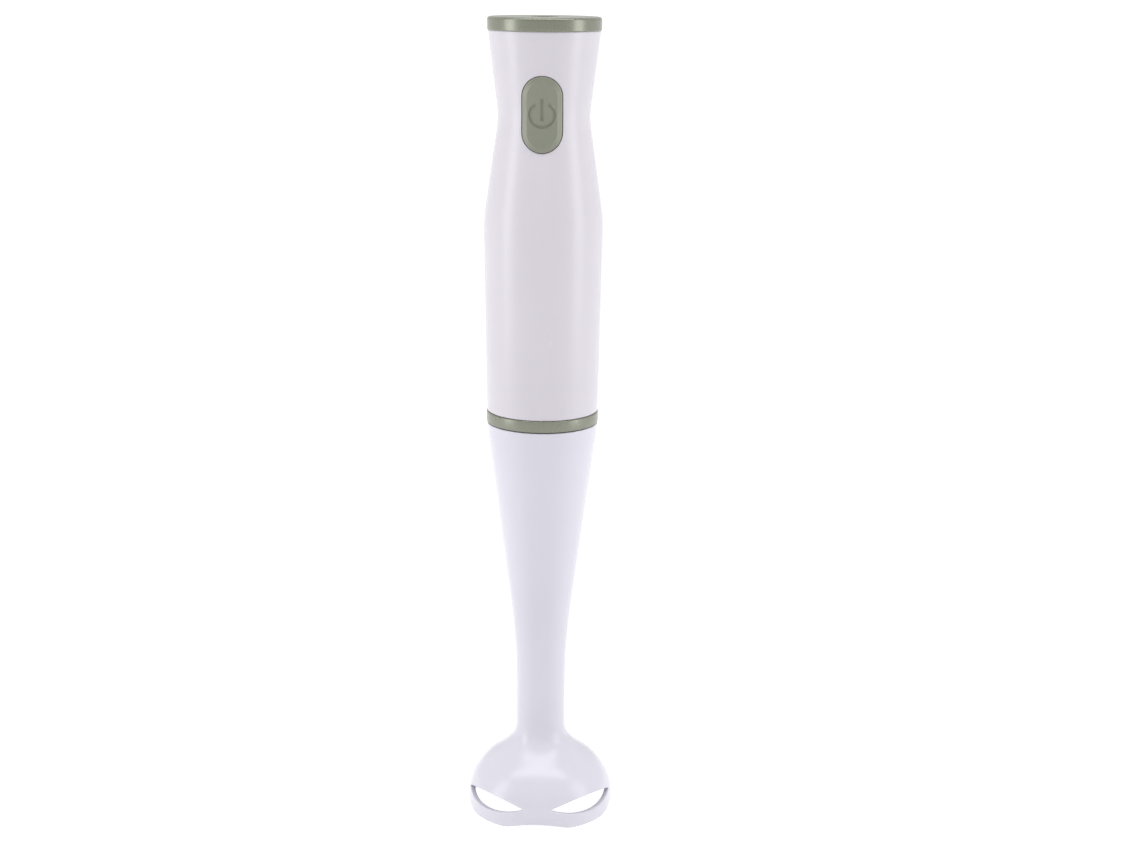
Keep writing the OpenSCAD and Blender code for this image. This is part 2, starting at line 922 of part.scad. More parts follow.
front_shell();
rear_shell();
top_cap();
joint_ring();
bayonet_insert();
cord_gland();
cord_clamp();
clamp_screws();
shell_screws();
switch_body();
switch_terminals();
switch_bracket();
control_board();
bridge_rectifier();
suppression_capacitor();
chokes();
switch_leads();
motor_leads();
motor_can();
motor_end_cap();
magnets();
brush_holders();
carbon_brushes();
brush_springs();
upper_bearing();
lower_bearing();
motor_mounts();
button();
switch_plunger();
rotor_shaft();
armature_core();
armature_windings();
commutator();
cooling_fan();
drive_dog();
drive_socket();
drive_shaft();
blade();
blade_hub();
thrust_washer();
retaining_clip();
leg_shell();
bell_guard();
leg_collar();
upper_bush();
middle_bush();
lower_bush();
shaft_seal();
seal_retainer();
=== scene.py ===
"""Looks of the immersion blender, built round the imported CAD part.

Shapes are written in mm and become metres in closed_object(). Light, camera and bump are in metres.
"""

import json
import math
from collections import namedtuple

import bmesh
import bpy
import numpy as np
from mathutils import Matrix, Vector


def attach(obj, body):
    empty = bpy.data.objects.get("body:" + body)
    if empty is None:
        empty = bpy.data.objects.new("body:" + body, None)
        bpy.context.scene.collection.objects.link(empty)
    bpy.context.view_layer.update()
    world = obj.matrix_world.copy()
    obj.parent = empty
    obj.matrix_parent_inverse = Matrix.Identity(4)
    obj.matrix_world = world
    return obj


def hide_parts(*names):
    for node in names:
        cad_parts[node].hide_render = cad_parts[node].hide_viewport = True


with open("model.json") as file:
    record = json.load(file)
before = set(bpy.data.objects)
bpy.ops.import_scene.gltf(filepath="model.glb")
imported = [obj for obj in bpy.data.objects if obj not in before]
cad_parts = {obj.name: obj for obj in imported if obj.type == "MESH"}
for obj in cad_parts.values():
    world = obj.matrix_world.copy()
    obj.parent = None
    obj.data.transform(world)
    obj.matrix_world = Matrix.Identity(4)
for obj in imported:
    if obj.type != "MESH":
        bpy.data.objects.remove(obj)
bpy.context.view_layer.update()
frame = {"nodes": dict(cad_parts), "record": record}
nodes = frame["nodes"]
scene = bpy.context.scene
MM = 0.001
STEP = 0.1   # between the points of a fine curve

# ---------------------------------------------------------------- profiles
# Nearer to the object's outline than part.scad's, which are slimmer: in radius by up to 0.8 mm on the
# housing, 1.2 mm on the leg and 1.8 mm on the bell's shoulder.
HOUSING = [(200.1, 26.04), (215, 26.37), (241, 26.78), (266, 27.17), (280, 27.4), (287.5, 27.35),
           (291.3, 27.13), (296.8, 26.38), (307.7, 24.83), (318.6, 23.24), (329.4, 21.62), (333, 21.2),
           (336.2, 21.03), (339.5, 21.23), (343, 21.67), (358.8, 23.63), (374, 25.5)]
LEG = [(42, 11.86), (50, 11.83), (60, 11.87), (70, 12.04), (79, 12.33), (87, 12.9), (95, 13.59),
       (104, 14.6), (120, 16.72), (140, 19.3), (160, 21.95), (178, 24.35), (186, 25.4),
       (190.5, 25.85), (193.7, 25.99)]
NECK_R, BELL_R, WALL = 11.86, 35.1, 2.3
DOME = [(z, NECK_R + f * (BELL_R - NECK_R)) for z, f in
        [(7, 1), (10.7, 0.972), (15.6, 0.899), (19.6, 0.795), (23, 0.672), (25.9, 0.535),
         (28.5, 0.385), (31.1, 0.247), (33.7, 0.137), (35.6, 0.075), (37.5, 0.036),
         (39.6, 0.012), (42, 0)]]


def curve(stations, soft):
    """Radius as a function of height: the CAD's curve through the stations, eased by soft mm."""
    z, r = np.array(stations, float).T
    rise = np.diff(r) / np.diff(z)
    slope = np.concatenate([[rise[0]], (rise[1:] + rise[:-1]) / 2, [rise[-1]]])
    fine = np.arange(z[0], z[-1] + 1e-9, STEP)
    i = np.clip(np.searchsorted(z, fine, "right") - 1, 0, len(z) - 2)
    h = z[i + 1] - z[i]
    t = (fine - z[i]) / h
    out = ((2 * t**3 - 3 * t**2 + 1) * r[i] + (t**3 - 2 * t**2 + t) * h * slope[i]
           + (3 * t**2 - 2 * t**3) * r[i + 1] + (t**3 - t**2) * h * slope[i + 1])
    n = round(3 * soft / STEP)
    k = np.exp(-0.5 * (np.arange(-n, n + 1) * STEP / soft) ** 2)
    k /= k.sum()
    head = 2 * out[0] - out[n:0:-1]
    tail = 2 * out[-1] - out[-2:-n - 2:-1]
    eased = np.convolve(np.concatenate([head, out, tail]), k, "valid")
    return lambda q: np.interp(q, fine, eased)


house_r = curve(HOUSING, 1.2)
lower_r = curve(DOME[:-1] + LEG, 0.5)   # the bell and the leg in one line, as one moulding


# ---------------------------------------------------------------- mesh helpers
def closed_object(name, verts, faces):
    """An object made of a closed mesh in mm, its faces turned outwards."""
    mesh = bpy.data.meshes.new(name)
    mesh.from_pydata((np.asarray(verts, float) * MM).tolist(), [], faces)
    bm = bmesh.new()
    bm.from_mesh(mesh)
    bmesh.ops.recalc_face_normals(bm, faces=bm.faces)
    bm.to_mesh(mesh)
    bm.free()
    obj = bpy.data.objects.new(name, mesh)
    scene.collection.objects.link(obj)
    return obj


def add_mesh(name, verts, faces, material, body, slot, replaces=(), sharp=40):
    """A visible piece that rides on a body in place of the CAD nodes in replaces."""
    obj = closed_object(name, verts, faces)
    mesh = obj.data
    mesh.materials.append(material)
    shade(mesh, sharp)
    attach(obj, body)
    if replaces:
        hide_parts(*replaces)
    return obj


def shade(mesh, sharp):
    mesh.shade_smooth()
    mesh.set_sharp_from_angle(angle=math.radians(sharp))


def grid_faces(rows, cols, wrap, start=0, flip=False):
    """Quads of a grid of vertices stored row by row."""
    out = []
    for i in range(rows - 1):
        for j in range(cols if wrap else cols - 1):
            a = start + i * cols + j
            b = start + i * cols + (j + 1) % cols
            quad = (a, b, b + cols, a + cols)
            out.append(quad[::-1] if flip else quad)
    return out


def fillet(cr, cz, radius, a0, a1, n=6):
    """Points of an arc in the (r, z) plane, angles in degrees."""
    return [(cr + radius * math.cos(math.radians(a)), cz + radius * math.sin(math.radians(a)))
            for a in np.linspace(a0, a1, n + 1)]


def revolve(points, n=256):
    """Vertices and faces of a closed (r, z) loop turned about Z."""
    a = np.linspace(0, 2 * math.pi, n, endpoint=False)
    verts = [(r * c, r * s, z) for r, z in points for c, s in zip(np.cos(a), np.sin(a))]
    faces = grid_faces(len(points), n, True)
    last = (len(points) - 1) * n
    for j in range(n):
        k = (j + 1) % n
        faces.append((last + j, last + k, k, j))
    return verts, faces


def combine(obj, verts, faces, operation):
    """Joins a closed solid to obj or takes it out, for good."""
    tool = closed_object("tool", verts, faces)
    mod = obj.modifiers.new("combine", "BOOLEAN")
    mod.operation, mod.solver, mod.object = operation, "EXACT", tool
    dg = bpy.context.evaluated_depsgraph_get()
    made = bpy.data.meshes.new_from_object(obj.evaluated_get(dg))
    obj.modifiers.clear()
    obj.data = made
    bpy.data.objects.remove(tool)


def cut(obj, verts, faces):
    """Takes a closed solid out of obj."""
    combine(obj, verts, faces, "DIFFERENCE")


def prism(outline, y0, y1, z_mid, x_mid=0.0):
    """An outline in X and Z carried along Y."""
    n = len(outline)
    verts = [(x_mid + x, y, z_mid + z) for y in (y0, y1) for x, z in outline]
    faces = [tuple(range(n)), tuple(range(2 * n - 1, n - 1, -1))]
    faces += [(j + n, (j + 1) % n + n, (j + 1) % n, j) for j in range(n)]
    return verts, faces


def circle(radius, n=48):
    turn = np.linspace(0, 2 * math.pi, n, endpoint=False)
    return [(radius * math.cos(a), radius * math.sin(a)) for a in turn]


def obround(w, h, n=40):
    """An upright slot with round ends, w wide and h tall."""
    r, c = w / 2, (h - w) / 2
    top = [(r * math.cos(a), c + r * math.sin(a)) for a in np.linspace(0, math.pi, n)]
    bottom = [(-x, -z) for x, z in top]
    return top + bottom


def true_normals(obj, radius, low, high, margin=0.03):
    """Gives faces on a turned surface its own normals, so that cuts leave no dents in the gloss."""
    mesh = obj.data
    co = np.empty(len(mesh.vertices) * 3)
    mesh.vertices.foreach_get("co", co)
    co = co.reshape(-1, 3) / MM
    r = np.hypot(co[:, 0], co[:, 1])
    z = co[:, 2]
    off_seam = np.abs(co[:, 1]) > 0.6
    on = (np.abs(r - radius(z)) < margin) & (z > low) & (z < high) & off_seam
    slope = (radius(z + 0.2) - radius(z - 0.2)) / 0.4
    q = np.sqrt(1 + slope**2)
    normal = np.stack([co[:, 0] / r / q, co[:, 1] / r / q, -slope / q], 1)
    out = np.zeros((len(mesh.loops), 3))
    for p in mesh.polygons:
        if on[list(p.vertices)].all():
            mid = np.array(p.normal)
            for li, vi in zip(p.loop_indices, p.vertices):
                if mid @ normal[vi] > 0.8:
                    out[li] = normal[vi]
    mesh.normals_split_custom_set(out.tolist())


# ---------------------------------------------------------------- materials
def new_material(name):
    """A material, its node tree, its shader and the object coordinates that its textures use."""
    m = bpy.data.materials.new(name)
    m.use_nodes = True
    t = m.node_tree
    bsdf = t.nodes["Principled BSDF"]
    where = t.nodes.new("ShaderNodeTexCoord").outputs["Object"]
    return m, t, bsdf, where


def noise(t, where, scale, detail=3.0, rough=0.5, stretch=None):
    if stretch:
        m = t.nodes.new("ShaderNodeMapping")
        m.inputs["Scale"].default_value = stretch
        t.links.new(where, m.inputs["Vector"])
        where = m.outputs["Vector"]
    n = t.nodes.new("ShaderNodeTexNoise")
    n.inputs["Scale"].default_value = scale
    n.inputs["Detail"].default_value = detail
    n.inputs["Roughness"].default_value = rough
    t.links.new(where, n.inputs["Vector"])
    return n.outputs["Fac"]


def spread(t, value, lo, hi, a=0.3, b=0.7):
    """Maps a to b of a value onto lo to hi."""
    m = t.nodes.new("ShaderNodeMapRange")
    m.inputs["From Min"].default_value, m.inputs["From Max"].default_value = a, b
    m.inputs["To Min"].default_value, m.inputs["To Max"].default_value = lo, hi
    t.links.new(value, m.inputs["Value"])
    return m.outputs["Result"]


def tint(t, fac, a, b):
    """Mix of two colours, each a tuple or an output."""
    m = t.nodes.new("ShaderNodeMix")
    m.data_type = "RGBA"
    t.links.new(fac, m.inputs["Factor"])
    for socket, value in (("A", a), ("B", b)):
        if isinstance(value, tuple):
            m.inputs[socket].default_value = (*value, 1)
        else:
            t.links.new(value, m.inputs[socket])
    return m.outputs["Result"]


def arithmetic(t, operation, a, b):
    m = t.nodes.new("ShaderNodeMath")
    m.operation = operation
    t.links.new(a, m.inputs[0])
    t.links.new(b, m.inputs[1])
    return m.outputs[0]


def bump(t, bsdf, layers):
    """Stacks (height output, depth in metres) layers of bump."""
    last = None
    for height, depth in layers:
        b = t.nodes.new("ShaderNodeBump")
        b.inputs["Strength"].default_value = 1.0
        b.inputs["Distance"].default_value = depth
        t.links.new(height, b.inputs["Height"])
        if last:
            t.links.new(last, b.inputs["Normal"])
        last = b.outputs["Normal"]
    t.links.new(last, bsdf.inputs["Normal"])


def shades(colour, by):
    """A darker and a lighter colour round the given one."""
    return tuple(min(1, c * (1 - by)) for c in colour), tuple(min(1, c * (1 + by)) for c in colour)


def plastic(name, colour, rough=0.3, grain=0.000004, vary=0.02, wear=0.0, sheen=0.0, shine=0.3):
    """Moulded plastic: faint clouding, handling marks in the gloss, a fine grain and, with wear, paler edges.

    sheen is a metallic share for a pearly paint and shine is the strength of the mirror reflection.
    """
    m, t, bsdf, where = new_material(name)
    dark, light = shades(colour, vary)
    base = tint(t, spread(t, noise(t, where, 14, 4), 0, 1), dark, light)
    if wear:
        edge = t.nodes.new("ShaderNodeNewGeometry").outputs["Pointiness"]
        rub = spread(t, edge, 0, 1, 0.53, 0.6)
        broken = spread(t, noise(t, where, 900, 5, 0.7), 0, 1, 0.35, 0.6)
        paler = tuple(c + (1 - c) * wear for c in colour)
        base = tint(t, arithmetic(t, "MULTIPLY", rub, broken), base, paler)
    t.links.new(base, bsdf.inputs["Base Color"])
    marks = spread(t, noise(t, where, 60, 6, 0.65), -0.012, 0.015)
    wipes = spread(t, noise(t, where, 160, 4, 0.6, (1, 1, 0.12)), rough - 0.01, rough + 0.015)
    t.links.new(arithmetic(t, "ADD", marks, wipes), bsdf.inputs["Roughness"])
    bsdf.inputs["IOR"].default_value = 1.49
    bsdf.inputs["Specular IOR Level"].default_value = shine
    bsdf.inputs["Metallic"].default_value = sheen
    bump(t, bsdf, [(noise(t, where, 5200, 2, 0.6), grain), (noise(t, where, 95, 2, 0.4), 0.00002)])
    return m


def metal(name, colour, rough=0.25, brush=(1, 1, 1), scale=900, depth=0.000008, vary=0.05, metallic=1.0):
    """Ground, turned or stamped metal, its marks stretched by brush."""
    m, t, bsdf, where = new_material(name)
    dark, light = shades(colour, vary)
    grain = noise(t, where, scale, 5, 0.6, brush)
    t.links.new(tint(t, spread(t, noise(t, where, 70, 4), 0, 1), dark, light), bsdf.inputs["Base Color"])
    t.links.new(spread(t, grain, rough - 0.07, rough + 0.1), bsdf.inputs["Roughness"])
    bsdf.inputs["Metallic"].default_value = metallic
    bump(t, bsdf, [(grain, depth)])
    return m


def rubber(name, colour, rough=0.6):
    m, t, bsdf, where = new_material(name)
    dark, light = shades(colour, 0.15)
    t.links.new(tint(t, spread(t, noise(t, where, 120, 5), 0, 1), dark, light), bsdf.inputs["Base Color"])
    t.links.new(spread(t, noise(t, where, 400, 4), rough - 0.08, rough + 0.1), bsdf.inputs["Roughness"])
    bump(t, bsdf, [(noise(t, where, 2600, 3, 0.6), 0.00003)])
    return m


def wound(name, colour, pitch=0.00055):
    """Enamelled copper: bands of wire with a varnish gloss, with painted shade in the grooves between turns
    and a painted highlight on their crowns.
    """
    m, t, bsdf, where = new_material(name)
    w = t.nodes.new("ShaderNodeTexWave")
    w.wave_type, w.bands_direction, w.wave_profile = "BANDS", "Z", "SIN"
    w.inputs["Scale"].default_value = 2 * math.pi / pitch / 20
    w.inputs["Distortion"].default_value = 1.5
    w.inputs["Detail"].default_value = 2
    t.links.new(where, w.inputs["Vector"])
    dark, light = shades(colour, 0.3)
    # Painted shade and highlight: the colour runs from dark in the grooves between turns to light on their
    # crowns, following the same wave as the bump.
    t.links.new(tint(t, w.outputs["Fac"], dark, light), bsdf.inputs["Base Color"])
    t.links.new(spread(t, noise(t, where, 300, 4), 0.25, 0.42), bsdf.inputs["Roughness"])
    bsdf.inputs["Metallic"].default_value = 0.85
    bsdf.inputs["Coat Weight"].default_value = 0.5
    bump(t, bsdf, [(w.outputs["Fac"], 0.0001)])
    return m


housing_white = plastic("housing_plastic", (0.525, 0.498, 0.543), 0.25)
leg_white = plastic("leg_plastic", (0.545, 0.533, 0.594), 0.22)
trim_green = plastic("trim_plastic", (0.180, 0.190, 0.147), 0.27, vary=0.03, wear=0.1, sheen=0.3, shine=0.6)
button_green = plastic("button_plastic", (0.192, 0.202, 0.158), 0.34, 0.00001, 0.03, wear=0.1, sheen=0.06)
inner_plastic = plastic("inner_plastic", (0.50, 0.48, 0.52), 0.42)
black_plastic = plastic("black_plastic", (0.025, 0.025, 0.028), 0.42, 0.00002, 0.1, wear=0.08)
grey_plastic = plastic("grey_plastic", (0.10, 0.105, 0.115), 0.42, 0.00002, 0.08, wear=0.08)
red_plastic = plastic("red_plastic", (0.45, 0.06, 0.05), 0.35, vary=0.05)
natural_plastic = plastic("natural_plastic", (0.66, 0.63, 0.56), 0.4, vary=0.04)
board_green = plastic("board_laminate", (0.03, 0.17, 0.07), 0.28, 0.00003, 0.15)
film_yellow = plastic("film_case", (0.6, 0.38, 0.03), 0.3, vary=0.05)
wire_blue = plastic("wire_blue", (0.03, 0.09, 0.35), 0.35, vary=0.05)
wire_red = plastic("wire_red", (0.40, 0.04, 0.04), 0.35, vary=0.05)
black_rubber = rubber("black_rubber", (0.02, 0.02, 0.021))
steel = metal("turned_steel", (0.56, 0.57, 0.59), 0.28, (1, 1, 8))
stainless = metal("stainless", (0.62, 0.63, 0.65), 0.2, (1, 1, 6), 1400)
zinc = metal("zinc_plate", (0.60, 0.62, 0.66), 0.3)
laminated = metal("laminations", (0.30, 0.31, 0.33), 0.4, (0.2, 0.2, 14), 300, 0.00004)
ferrite = metal("ferrite", (0.075, 0.07, 0.065), 0.5, metallic=0.3)
bronze = metal("sintered_bronze", (0.52, 0.36, 0.17), 0.42, (1, 1, 1), 2600, 0.00003, 0.12)
brass = metal("stamped_brass", (0.68, 0.5, 0.22), 0.26)
carbon = plastic("pressed_carbon", (0.015, 0.015, 0.016), 0.55, 0.00003, 0.2)
copper = wound("enamelled_copper", (0.52, 0.19, 0.07))
bar_copper = metal("commutator_copper", (0.62, 0.30, 0.17), 0.24, (1, 1, 10))

BY_SLOT = {"housing_white": housing_white, "leg_white": leg_white, "trim_green": trim_green,
           "inner_plastic": inner_plastic, "black_plastic": black_plastic, "grey_plastic": grey_plastic,
           "red_plastic": red_plastic, "natural_plastic": natural_plastic, "rubber": black_rubber,
           "steel": steel, "stainless": stainless, "laminated_steel": laminated, "zinc_steel": zinc,
           "ferrite": ferrite, "bronze": bronze, "brass": brass, "copper": copper, "carbon": carbon,
           "board": board_green, "film_yellow": film_yellow, "wire_blue": wire_blue, "wire_red": wire_red}
for sub in frame["record"]["subparts"]:
    o = nodes[sub["node"]]
    o.data.materials.clear()
    o.data.materials.append(BY_SLOT[sub["material_slot"]])
nodes["commutator"].data.materials[0] = bar_copper


# ---------------------------------------------------------------- housing shells
BUTTON_Z, BUTTON_W, BUTTON_H, BUTTON_GAP = 338.0, 18.0, 33.5, 0.3
Z_LOW, Z_HIGH = 199.65, 374.0
SCREW_PLACES = ((-13.5, 354), (13.5, 354), (-16.5, 213), (16.5, 213))
RECESS_R = 2.8
VENT_COUNT, VENT_Z, VENT_PITCH, VENT_HALF, VENT_R = 7, 280.5, 2.9, 9, 0.75
OUTSIDE = 40   # farther out than any wall


def shell_half(name, front):
    """One half of the housing as a closed shell, its edges eased and its parting edges rolled in."""
    tall = Z_HIGH - Z_LOW
    z = np.concatenate([[0, 0.06, 0.2, 0.42, 0.7], np.linspace(1.2, tall - 0.8, 230),
                        tall - np.array([0.35, 0.12, 0.0])]) + Z_LOW
    ease = np.zeros(len(z))
    ease[:5] = [0.62, 0.34, 0.14, 0.04, 0.0]
    ease[-3:] = [0.02, 0.12, 0.3]
    outer = house_r(z) - ease
    inner = house_r(z) - WALL
    half_round = 80.0   # about the way round one half, which puts the seam's steps in mm
    seam = np.array([0.0, 0.08, 0.2, 0.45])
    drop = [0.28, 0.1, 0.03, 0.0]
    mid = np.linspace(1.0, half_round - 1.0, 104)
    arc = np.concatenate([seam, mid, half_round - seam[::-1]]) / half_round * math.pi
    drops = np.concatenate([drop, np.zeros(len(mid)), drop[::-1]])
    turn = arc + (math.pi if front else 0.0)
    verts = []
    for radii, rolled in ((outer, drops), (inner, 0 * drops)):
        for r, h in zip(radii, z):
            rr = r - rolled
            verts += list(zip(rr * np.cos(turn), rr * np.sin(turn), [h] * len(turn)))
    rows, cols = len(z), len(turn)
    off = rows * cols
    faces = grid_faces(rows, cols, False) + grid_faces(rows, cols, False, off, True)
    for i in range(rows - 1):
        a, b = i * cols, (i + 1) * cols
        faces.append((a, b, b + off, a + off))
        faces.append((a + cols - 1, a + cols - 1 + off, b + cols - 1 + off, b + cols - 1))
    for j in range(cols - 1):
        faces.append((j, j + off, j + 1 + off, j + 1))
        t = (rows - 1) * cols + j
        faces.append((t, t + 1, t + 1 + off, t + off))
    node = "front_shell" if front else "rear_shell"
    return add_mesh(name, verts, faces, housing_white, "housing", "housing_white", [node])


front = shell_half("front_housing", True)
opening = obround(BUTTON_W + 2 * BUTTON_GAP, BUTTON_H + 2 * BUTTON_GAP)
cut(front, *prism(opening, -OUTSIDE, -12, BUTTON_Z))
shade(front.data, 35)
true_normals(front, house_r, Z_LOW + 1.2, Z_HIGH - 0.8)

rear = shell_half("rear_housing", False)
for x, z in SCREW_PLACES:
    cut(rear, *prism(circle(RECESS_R), 8, OUTSIDE, z, x))
right_end = [(VENT_HALF + VENT_R * math.sin(a), VENT_R * math.cos(a)) for a in np.linspace(0, math.pi, 10)]
vent = right_end + [(-x, -z) for x, z in right_end]
for i in range(VENT_COUNT):
    cut(rear, *prism(vent, 15, OUTSIDE, VENT_Z + VENT_PITCH * i))
shade(rear.data, 35)
true_normals(rear, house_r, Z_LOW + 1.2, Z_HIGH - 0.8)


# ---------------------------------------------------------------- button
FACE_UP = 1.1   # how far the button's face stands out from the housing


def button_piece():
    """Rings of shrinking outlines on the housing's surface: side wall, rounded edge, bevel, flat.

    Each step is how far its outline is drawn in and how far it stands out.
    """
    steps = [(0.25, -5.0), (0.0, -4.0), (0.0, -1.5), (0.0, 0.1), (0.05, 0.28), (0.16, 0.42), (0.34, 0.52),
             (0.6, 0.6), (1.0, 0.71), (1.5, 0.84), (1.8, 0.93), (1.95, 1.0), (2.08, 1.06), (2.25, 1.09),
             (2.5, FACE_UP)]
    steps += [(d, FACE_UP) for d in np.linspace(2.9, BUTTON_W / 2 - 0.15, 16)]
    half = (BUTTON_H - BUTTON_W) / 2
    arc = np.linspace(0, math.pi, 49)
    side = np.linspace(1, -1, 26)[1:-1]
    rings = []
    for d, h in steps:
        r = BUTTON_W / 2 - d
        x = np.concatenate([r * np.cos(arc), -r + 0 * side, -r * np.cos(arc), r + 0 * side])
        z = np.concatenate([half + r * np.sin(arc), half * side, -half - r * np.sin(arc), -half * side])
        big = house_r(z + BUTTON_Z) + h
        rings.append(np.stack([x, -np.sqrt(big**2 - x**2), z + BUTTON_Z], 1))
    cols = len(rings[0])
    verts = np.concatenate(rings)
    faces = grid_faces(len(rings), cols, True, 0, True)
    faces.append(tuple(range(cols)))
    last = (len(rings) - 1) * cols
    n, top = len(arc) + len(side), len(arc) // 2
    # The last outline's left and right sides from its top to its bottom, closed by quads between them.
    left = [last + i for i in range(top, n)] + [last + n + i for i in range(top + 1)]
    right = [last + i for i in range(top, -1, -1)] + [last + 2 * n - 1 - i for i in range(len(side))]
    right += [last + n + i for i in range(len(arc) - 1, top - 1, -1)]
    for i in range(len(left) - 1):
        corners = (left[i], left[i + 1], right[i + 1], right[i])
        quad = [v for k, v in enumerate(corners) if v not in corners[:k]]
        if len(quad) > 2:
            faces.append(tuple(quad[::-1]))
    return verts, faces


button = add_mesh("button_cap", *button_piece(), button_green, "button", "trim_green", ["button"], 30)


def cut_strip(obj, left, right, depth=0.35):
    """Engraves the band between two matching lines of points, to a floor that follows the button's face."""
    band = left + right[::-1]
    n = len(band)
    verts = []
    for lift in (FACE_UP - depth, 4.0):
        for x, z in band:
            big = house_r(z + BUTTON_Z) + lift
            verts.append((x, -math.sqrt(big**2 - x**2), z + BUTTON_Z))
    faces = []
    for k in range(len(left) - 1):
        a, b, c, d = k, k + 1, n - 2 - k, n - 1 - k
        faces.append((a, b, c, d))
        faces.append((d + n, c + n, b + n, a + n))
    faces += [(j, j + n, (j + 1) % n + n, (j + 1) % n) for j in range(n)]
    cut(obj, verts, faces)


SYMBOL_R, LINE_W, HALF_GAP = 6.0, 1.3, 32
turns = np.radians(np.linspace(90 + HALF_GAP, 450 - HALF_GAP, 73))
for_ring = ([(r * math.cos(a), r * math.sin(a)) for a in turns] for r in (SYMBOL_R, SYMBOL_R - LINE_W))
cut_strip(button, *for_ring)
bar = np.linspace(7.0, -2.5, 24)
cut_strip(button, *([(x, z) for z in bar] for x in (-LINE_W / 2, LINE_W / 2)))
shade(button.data, 28)
true_normals(button, lambda z: house_r(z) + FACE_UP, 300, 376, 0.02)


# ---------------------------------------------------------------- cap, gland and ring
CAP_R, TOP, SKIRT = 25.8, 380.0, 368
PLUG = house_r(SKIRT) - WALL - 0.1   # the skirt that fits inside the shells
cap_line = ([(PLUG, Z_HIGH)] + fillet(CAP_R - 0.45, Z_HIGH + 0.45, 0.45, -90, 0)
            + [(CAP_R, 375.5), (CAP_R + 0.02, 377), (CAP_R, TOP - 1.5)]
            + fillet(CAP_R - 1.3, TOP - 1.3, 1.3, 0, 90, 10)
            + [(22, TOP), (12, TOP), (7.6, TOP)] + fillet(6.85, TOP - 0.25, 0.25, 90, 180, 4)
            + [(6.6, TOP - 1.2), (5, TOP - 1.2), (5, TOP - 3.4), (PLUG - 2.2, TOP - 3.4)]
            + [(PLUG - 2.2, SKIRT), (PLUG - 0.8, SKIRT), (PLUG, SKIRT + 1)])
add_mesh("cap_piece", *revolve(cap_line, 288), trim_green, "housing", "trim_green", ["top_cap"], 30)
gland_line = ([(7.6, TOP - 5.4), (7.6, TOP - 3.4), (4.95, TOP - 3.4), (4.95, TOP - 1.2), (6.5, TOP - 1.2)]
              + fillet(6.2, TOP - 0.6, 0.3, 0, 90, 4) + fillet(3.9, TOP - 0.9, 0.6, 90, 180, 6)
              + [(3.3, 371), (4.95, 371), (4.95, TOP - 5.4)])
add_mesh("gland_piece", *revolve(gland_line, 96), black_rubber, "housing", "rubber", ["cord_gland"], 40)
RING_R, RING_IN, RING_LOW, RING_HIGH, RING_EDGE = 26.2, 23.05, 194.1, 199.5, 0.55
ring_line = ([(RING_IN, RING_LOW)] + fillet(RING_R - RING_EDGE, RING_LOW + RING_EDGE, RING_EDGE, -90, 0)
             + [(RING_R, 196.4)] + fillet(RING_R - RING_EDGE, RING_HIGH - RING_EDGE, RING_EDGE, 0, 90)
             + [(RING_IN, RING_HIGH)])
add_mesh("ring_piece", *revolve(ring_line, 288), trim_green, "housing", "trim_green", ["joint_ring"], 30)


# ---------------------------------------------------------------- leg and bell, one moulding
SLOT_TIP, SLOT_UP, SLOT_DOWN, SLOT_HALF = 10.3, 3.7, 4.0, 18.5
TIP_GAP = 0.35   # half the slot's height at its tips
ARCH_H, ARCH_HALF = 3.0, 15.0
BELL_SIDE = 7.0   # the bell is a cylinder below this height
SHOULDER = 22.0   # rows of the outside and the inside go their own ways above this height
ROOF_R = 9.6   # boss inside the bell
LEG_TOP, SOCKET_R, SOCKET_Z = 193.7, 22.02, 190.0
SEAL_R, SEAL_LOW, SEAL_TOP = 6.42, 20.6, 22.5

# One wall of the bell: where its rows of vertices start, its columns' azimuths and how many, which are open
Side = namedtuple("Side", "rim low high top az n open_")


def arc_height(x, half, height):
    """Height of a shallow arch at x, zero at +-half."""
    r = (half**2 + height**2) / (2 * height)
    return np.sqrt(np.maximum(r**2 - x**2, 0)) - (r - height)


def above_zero(h, blend=0.8):
    """h where it is above zero, easing into zero below it."""
    return (h + np.sqrt(h**2 + blend**2)) / 2


def outer_bell_r(z):
    return np.where(np.asarray(z) < BELL_SIDE, BELL_R, lower_r(z))


# The inside of the dome lies WALL in from the outside, measured square to it.
dome_z = np.linspace(BELL_SIDE, 33.5, 200)
dome_slope = (lower_r(dome_z + 0.1) - lower_r(dome_z - 0.1)) / 0.2
dome_q = np.sqrt(1 + dome_slope**2)
in_r, in_z = lower_r(dome_z) - WALL / dome_q, dome_z + dome_slope * WALL / dome_q
in_r[0], in_z[0] = BELL_R - WALL, 5.0


def inner_bell_r(z):
    return np.interp(z, in_z, in_r)


def inner_bell_z(r):
    return np.interp(-r, -in_r, in_z)


